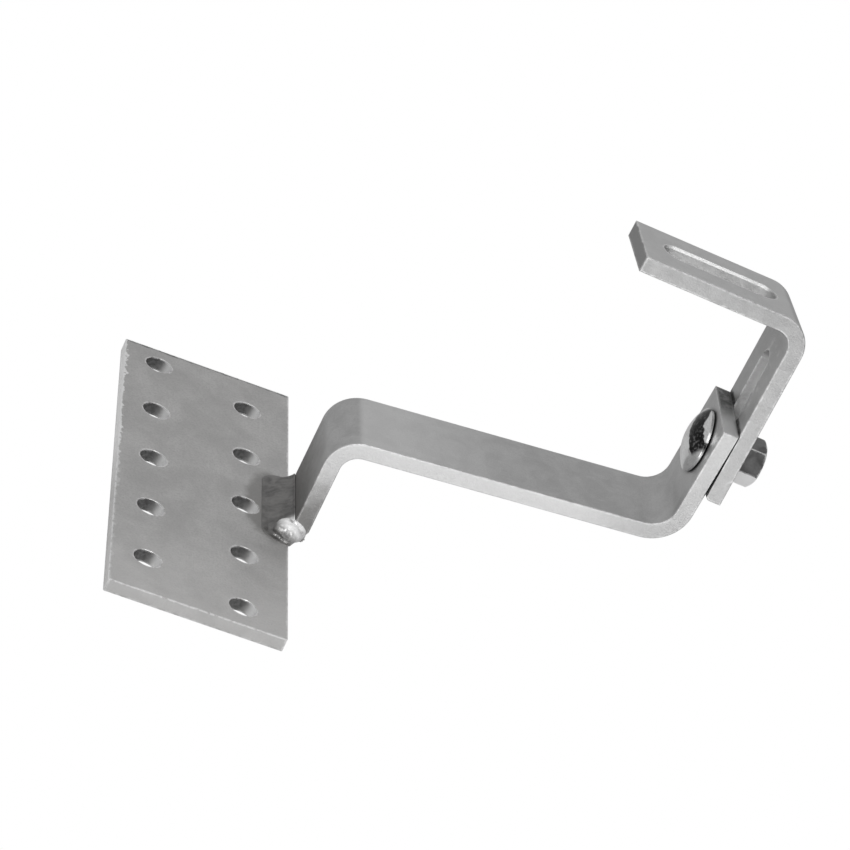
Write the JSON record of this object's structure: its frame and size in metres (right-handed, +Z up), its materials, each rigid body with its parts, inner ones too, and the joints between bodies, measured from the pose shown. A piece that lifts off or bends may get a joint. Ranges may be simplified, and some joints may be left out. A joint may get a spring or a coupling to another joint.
{
  "type": "solar roof hook",
  "caption": "Adjustable stainless roof hook: drilled base plate, welded cranked arm and a slotted angle bracket clamped by a carriage bolt and flange nut.",
  "frame": {"origin": "centre of the base plate's underside", "axes": "+Z up from the plate's underside, +X the way the arm runs from the plate, +Y along the plate's length"},
  "size_m": [0.1895, 0.152, 0.1352],
  "materials": {
    "plate_steel": "matt pickled stainless steel",
    "bar_steel": "matt blasted stainless steel",
    "weld_metal": "dull weld metal with a heat-tinted edge",
    "bolt_steel": "polished stainless steel",
    "nut_steel": "bright stainless steel"
  },
  "bodies": {
    "hook_body": {"base_plate": "plate_steel", "hook_arm": "bar_steel", "weld_bead": "weld_metal", "carriage_bolt": "bolt_steel", "flange_nut": "nut_steel"},
    "bracket": {"upper_bracket": "bar_steel"}
  },
  "joints": [
    {"name": "bracket_slide", "type": "slide", "parent": "hook_body", "child": "bracket", "axis": [0.0521, 0.0958, 0.994], "range_m": [-0.028, 0]}
  ]
}
